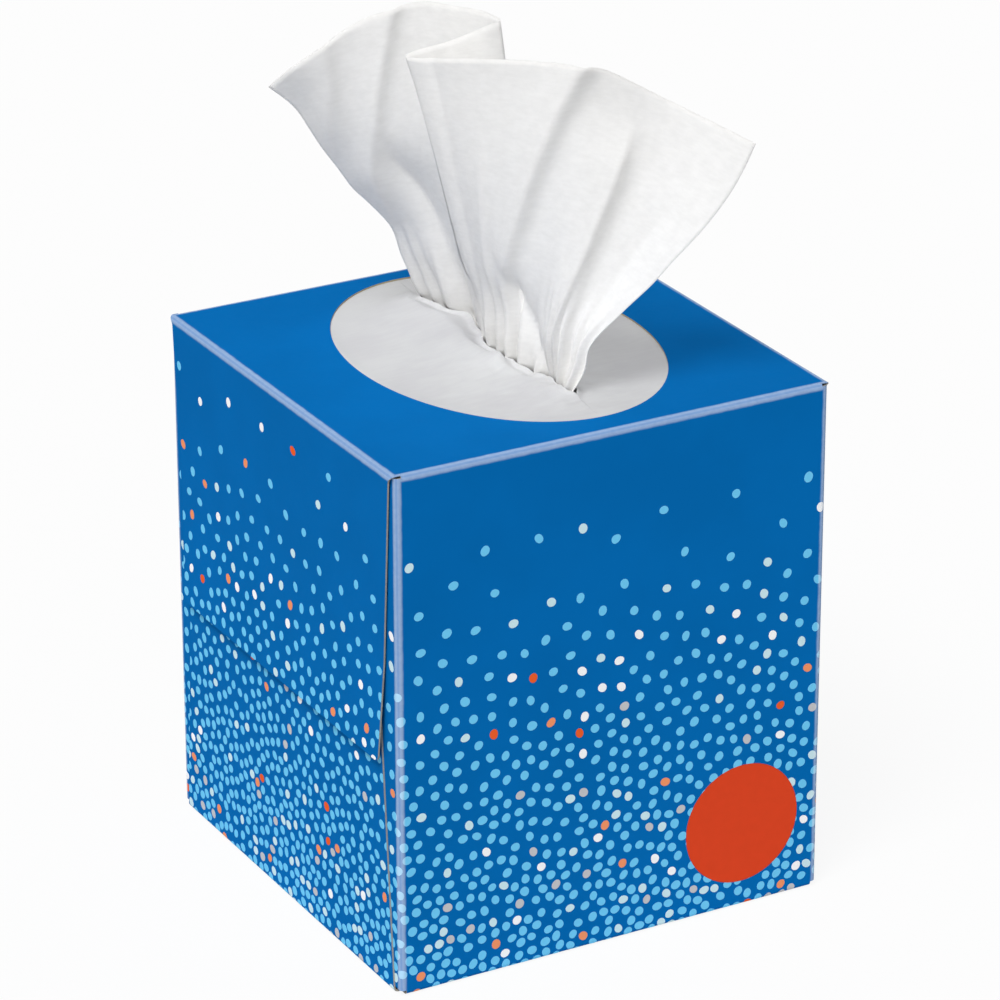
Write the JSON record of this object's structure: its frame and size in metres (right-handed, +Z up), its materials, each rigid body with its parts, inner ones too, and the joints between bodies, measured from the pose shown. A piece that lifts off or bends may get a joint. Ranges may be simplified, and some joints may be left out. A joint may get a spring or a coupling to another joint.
{
  "type": "tissue box",
  "caption": "Upright cube tissue carton with an oval top opening, a slit film window, a folded stack inside and a tissue that stands out of the slit. The print is scattered dots.",
  "frame": {"origin": "middle of the carton's base, at the height of the table", "axes": "+Z up, X through the two glued end faces, Y along the slit, and the panel with the round badge faces -Y"},
  "size_m": [0.1138, 0.111, 0.2035],
  "materials": {
    "carton": "blue coated paperboard with scattered dots",
    "window_film": "hazy translucent film",
    "tissue_stack": "soft white tissue in layers",
    "pulled_tissue": "soft white tissue"
  },
  "bodies": {
    "root": {"carton": "carton", "window_film": "window_film", "tissue_stack": "tissue_stack", "pulled_tissue": "pulled_tissue"}
  },
  "joints": []
}
